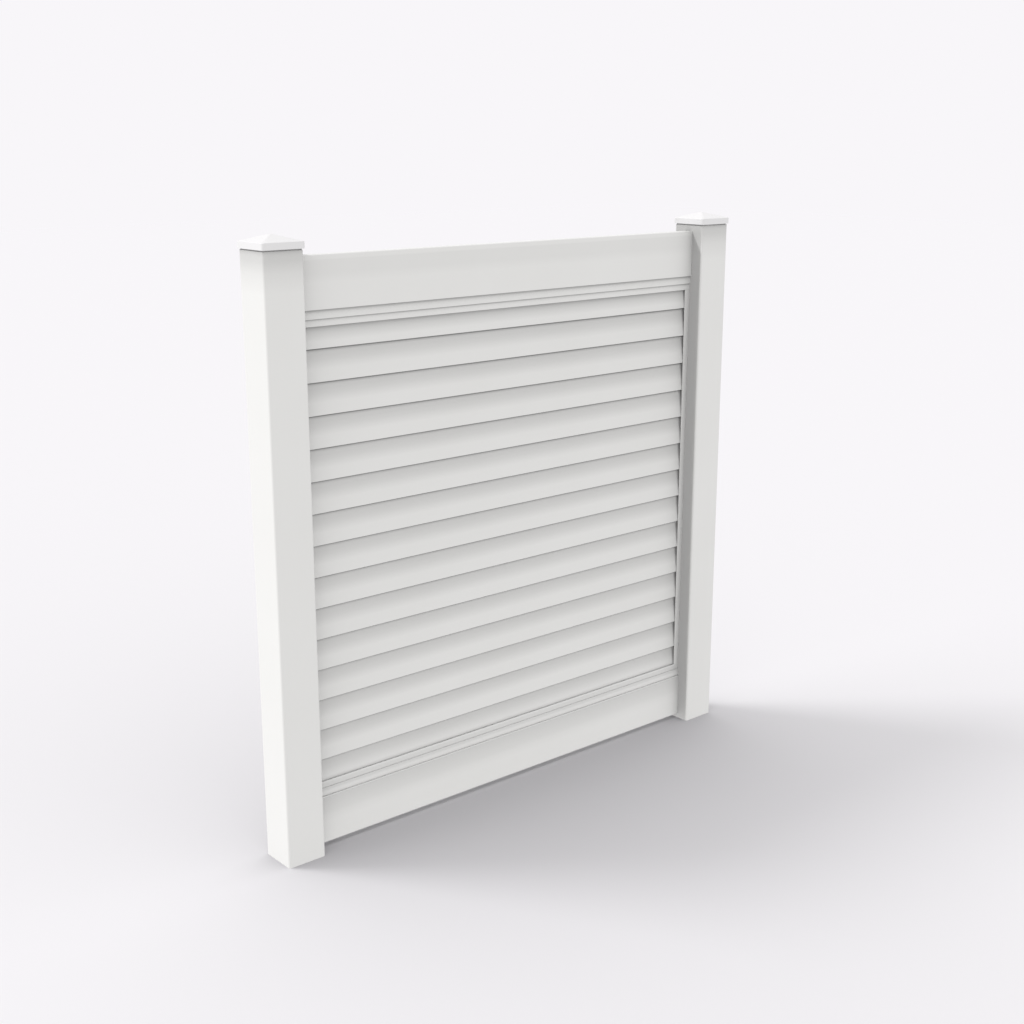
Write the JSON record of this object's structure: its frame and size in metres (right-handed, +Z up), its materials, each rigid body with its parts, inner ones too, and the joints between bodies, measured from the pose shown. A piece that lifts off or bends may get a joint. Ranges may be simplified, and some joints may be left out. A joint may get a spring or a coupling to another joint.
{
  "type": "horizontal privacy fence",
  "caption": "Free-standing fence panel of overlapping horizontal boards between stepped rails and square capped posts.",
  "frame": {"origin": "on the ground, midway between the two posts and midway through the fence's thickness", "axes": "+X along the fence towards the right post, +Y towards the back, +Z up; the boards' overlapping lips face -Y"},
  "size_m": [1.921, 0.141, 1.917],
  "materials": {
    "white_vinyl": "smooth satin white vinyl",
    "galvanised_steel": "dull galvanised",
    "stainless_screw": "bright",
    "locator_plastic": "moulded, fine grain"
  },
  "bodies": {
    "root": {"top_rail": "white_vinyl", "bottom_rail": "white_vinyl", "bottom_rail_stiffener": "galvanised_steel", "left_post": "white_vinyl", "right_post": "white_vinyl", "left_post_cap": "white_vinyl", "right_post_cap": "white_vinyl", "left_side_channel": "white_vinyl", "right_side_channel": "white_vinyl", "left_channel_screws": "stainless_screw", "right_channel_screws": "stainless_screw", "left_base_mount": "galvanised_steel", "right_base_mount": "galvanised_steel", "left_post_locators": "locator_plastic", "right_post_locators": "locator_plastic", "slat_01": "white_vinyl", "slat_02": "white_vinyl", "slat_03": "white_vinyl", "slat_04": "white_vinyl", "slat_05": "white_vinyl", "slat_06": "white_vinyl", "slat_07": "white_vinyl", "slat_08": "white_vinyl", "slat_09": "white_vinyl", "slat_10": "white_vinyl", "slat_11": "white_vinyl", "slat_12": "white_vinyl", "slat_13": "white_vinyl", "slat_14": "white_vinyl", "slat_15": "white_vinyl"}
  },
  "joints": []
}
